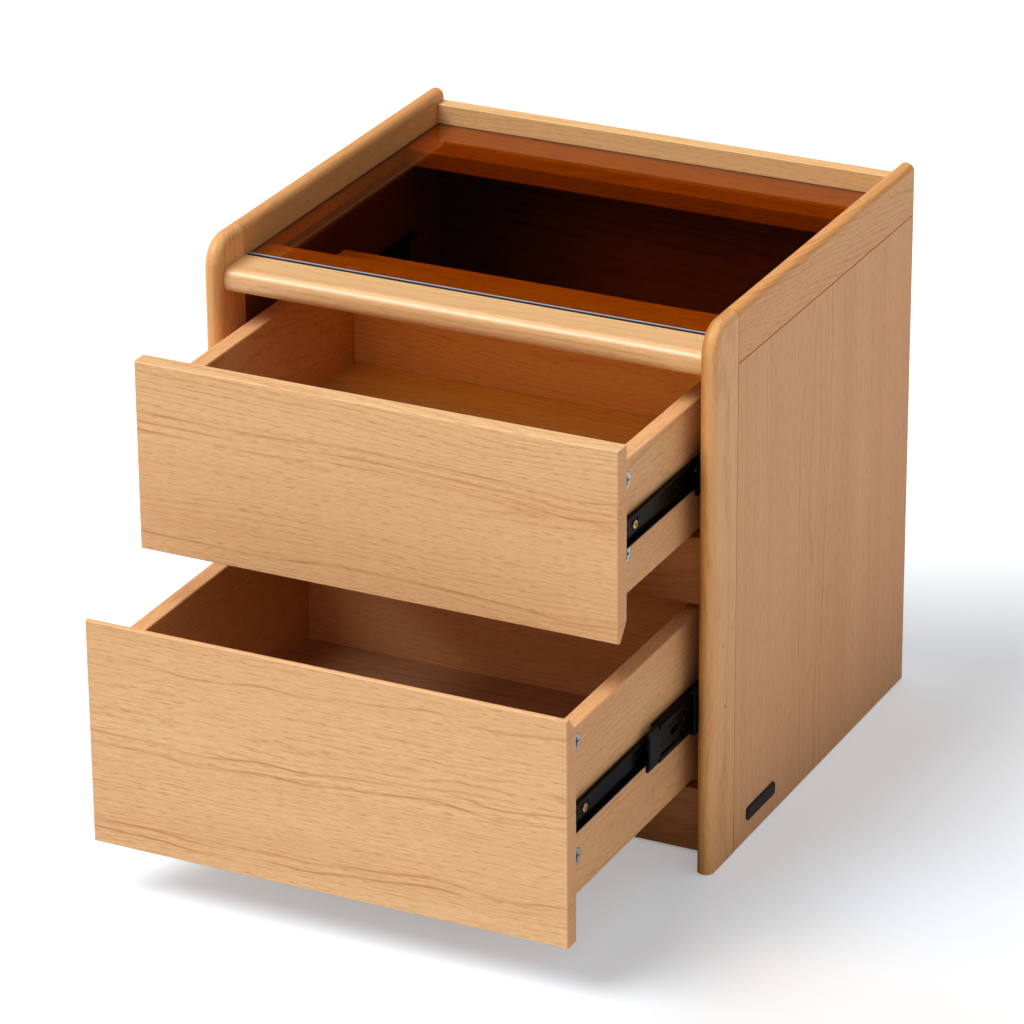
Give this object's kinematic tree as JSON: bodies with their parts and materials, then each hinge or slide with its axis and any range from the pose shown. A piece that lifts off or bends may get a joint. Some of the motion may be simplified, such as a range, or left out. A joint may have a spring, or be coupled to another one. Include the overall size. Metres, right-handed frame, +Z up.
{
  "type": "nightstand",
  "caption": "Low bedside cabinet with inset drawers on ball bearing slides, rounded oak sides, a rear gallery and a tinted glass top.",
  "frame": {"origin": "on the floor, under the centre of the whole object's box with its drawers drawn out as they rest here", "axes": "+X to the right as seen from the front, +Y to the back, +Z up; the drawers open towards -Y"},
  "size_m": [0.4516, 0.6334, 0.4724],
  "materials": {
    "front_oak": "satin lacquer over pale warm oak, fine grain along the width",
    "side_oak": "satin lacquer over oak, grain upright",
    "edge_oak": "semi-gloss lacquer over solid honey oak, rounded edges",
    "rail_oak": "satin lacquer over solid oak",
    "box_wood": "satin lacquer over light wood, darker edges",
    "back_board": "thin veneered board",
    "dowel_wood": "bare beech",
    "tinted_glass": "tea-brown float glass with ground edges",
    "black_steel": "black electro-coated steel",
    "zinc": "bright zinc plate",
    "brass": "yellow passivated steel",
    "black_plastic": "moulded black plastic",
    "cage_plastic": "moulded plastic with steel balls",
    "badge": "bare dark plate, softly rounded"
  },
  "bodies": {
    "cabinet": {"back_panel": "back_board", "badge_plate": "badge", "bottom_front_rail": "rail_oak", "bottom_rear_rail": "rail_oak", "cabinet_cam_bolts": "zinc", "cabinet_cam_locks": "zinc", "cabinet_dowels": "dowel_wood", "cabinet_slide_screws": "brass", "front_top_rail": "edge_oak", "glass_top": "tinted_glass", "left_front_stile": "edge_oak", "left_side_panel": "side_oak", "left_top_rail": "edge_oak", "lower_left_cabinet_member": "black_steel", "lower_right_cabinet_member": "black_steel", "mid_front_rail": "rail_oak", "rear_gallery_rail": "edge_oak", "rear_glass_rail": "rail_oak", "right_front_stile": "edge_oak", "right_side_panel": "side_oak", "right_top_rail": "edge_oak", "upper_left_cabinet_member": "black_steel", "upper_right_cabinet_member": "black_steel"},
    "upper_drawer": {"upper_drawer_back": "box_wood", "upper_drawer_bottom": "box_wood", "upper_drawer_cam_bolts": "zinc", "upper_drawer_cam_locks": "zinc", "upper_drawer_dowels": "dowel_wood", "upper_drawer_front": "front_oak", "upper_drawer_left_side": "box_wood", "upper_drawer_release_levers": "black_plastic", "upper_drawer_right_side": "box_wood", "upper_drawer_slide_screws": "brass", "upper_left_drawer_member": "black_steel", "upper_right_drawer_member": "black_steel"},
    "upper_left_middle": {"upper_left_middle_member": "black_steel", "upper_left_slide_bumper": "black_plastic"},
    "upper_right_middle": {"upper_right_middle_member": "black_steel", "upper_right_slide_bumper": "black_plastic"},
    "upper_outer_cages": {"upper_outer_ball_cages": "cage_plastic"},
    "upper_inner_cages": {"upper_inner_ball_cages": "cage_plastic"},
    "lower_drawer": {"lower_drawer_back": "box_wood", "lower_drawer_bottom": "box_wood", "lower_drawer_cam_bolts": "zinc", "lower_drawer_cam_locks": "zinc", "lower_drawer_dowels": "dowel_wood", "lower_drawer_front": "front_oak", "lower_drawer_left_side": "box_wood", "lower_drawer_release_levers": "black_plastic", "lower_drawer_right_side": "box_wood", "lower_drawer_slide_screws": "brass", "lower_left_drawer_member": "black_steel", "lower_right_drawer_member": "black_steel"},
    "lower_left_middle": {"lower_left_middle_member": "black_steel", "lower_left_slide_bumper": "black_plastic"},
    "lower_right_middle": {"lower_right_middle_member": "black_steel", "lower_right_slide_bumper": "black_plastic"},
    "lower_outer_cages": {"lower_outer_ball_cages": "cage_plastic"},
    "lower_inner_cages": {"lower_inner_ball_cages": "cage_plastic"}
  },
  "joints": [
    {"name": "upper_drawer_slide", "type": "slide", "parent": "cabinet", "child": "upper_drawer", "axis": [0, -1, 0], "range_m": [-0.155, 0.13]},
    {"name": "upper_left_middle_slide", "type": "slide", "parent": "cabinet", "child": "upper_left_middle", "axis": [0, -1, 0], "range_m": [-0.0465, 0.039]},
    {"name": "upper_right_middle_slide", "type": "slide", "parent": "cabinet", "child": "upper_right_middle", "axis": [0, -1, 0], "range_m": [-0.0465, 0.039]},
    {"name": "upper_outer_cages_slide", "type": "slide", "parent": "cabinet", "child": "upper_outer_cages", "axis": [0, -1, 0], "range_m": [-0.02325, 0.0195]},
    {"name": "upper_inner_cages_slide", "type": "slide", "parent": "cabinet", "child": "upper_inner_cages", "axis": [0, -1, 0], "range_m": [-0.10075, 0.0845]},
    {"name": "lower_drawer_slide", "type": "slide", "parent": "cabinet", "child": "lower_drawer", "axis": [0, -1, 0], "range_m": [-0.245, 0.04]},
    {"name": "lower_left_middle_slide", "type": "slide", "parent": "cabinet", "child": "lower_left_middle", "axis": [0, -1, 0], "range_m": [-0.11025, 0.018]},
    {"name": "lower_right_middle_slide", "type": "slide", "parent": "cabinet", "child": "lower_right_middle", "axis": [0, -1, 0], "range_m": [-0.11025, 0.018]},
    {"name": "lower_outer_cages_slide", "type": "slide", "parent": "cabinet", "child": "lower_outer_cages", "axis": [0, -1, 0], "range_m": [-0.05513, 0.009]},
    {"name": "lower_inner_cages_slide", "type": "slide", "parent": "cabinet", "child": "lower_inner_cages", "axis": [0, -1, 0], "range_m": [-0.17763, 0.029]}
  ],
  "couplings": [
    {"joint": "upper_left_middle_slide", "follows": "upper_drawer_slide", "ratio": 0.3},
    {"joint": "upper_right_middle_slide", "follows": "upper_drawer_slide", "ratio": 0.3},
    {"joint": "upper_outer_cages_slide", "follows": "upper_drawer_slide", "ratio": 0.15},
    {"joint": "upper_inner_cages_slide", "follows": "upper_drawer_slide", "ratio": 0.65},
    {"joint": "lower_left_middle_slide", "follows": "lower_drawer_slide", "ratio": 0.45},
    {"joint": "lower_right_middle_slide", "follows": "lower_drawer_slide", "ratio": 0.45},
    {"joint": "lower_outer_cages_slide", "follows": "lower_drawer_slide", "ratio": 0.225},
    {"joint": "lower_inner_cages_slide", "follows": "lower_drawer_slide", "ratio": 0.725}
  ]
}
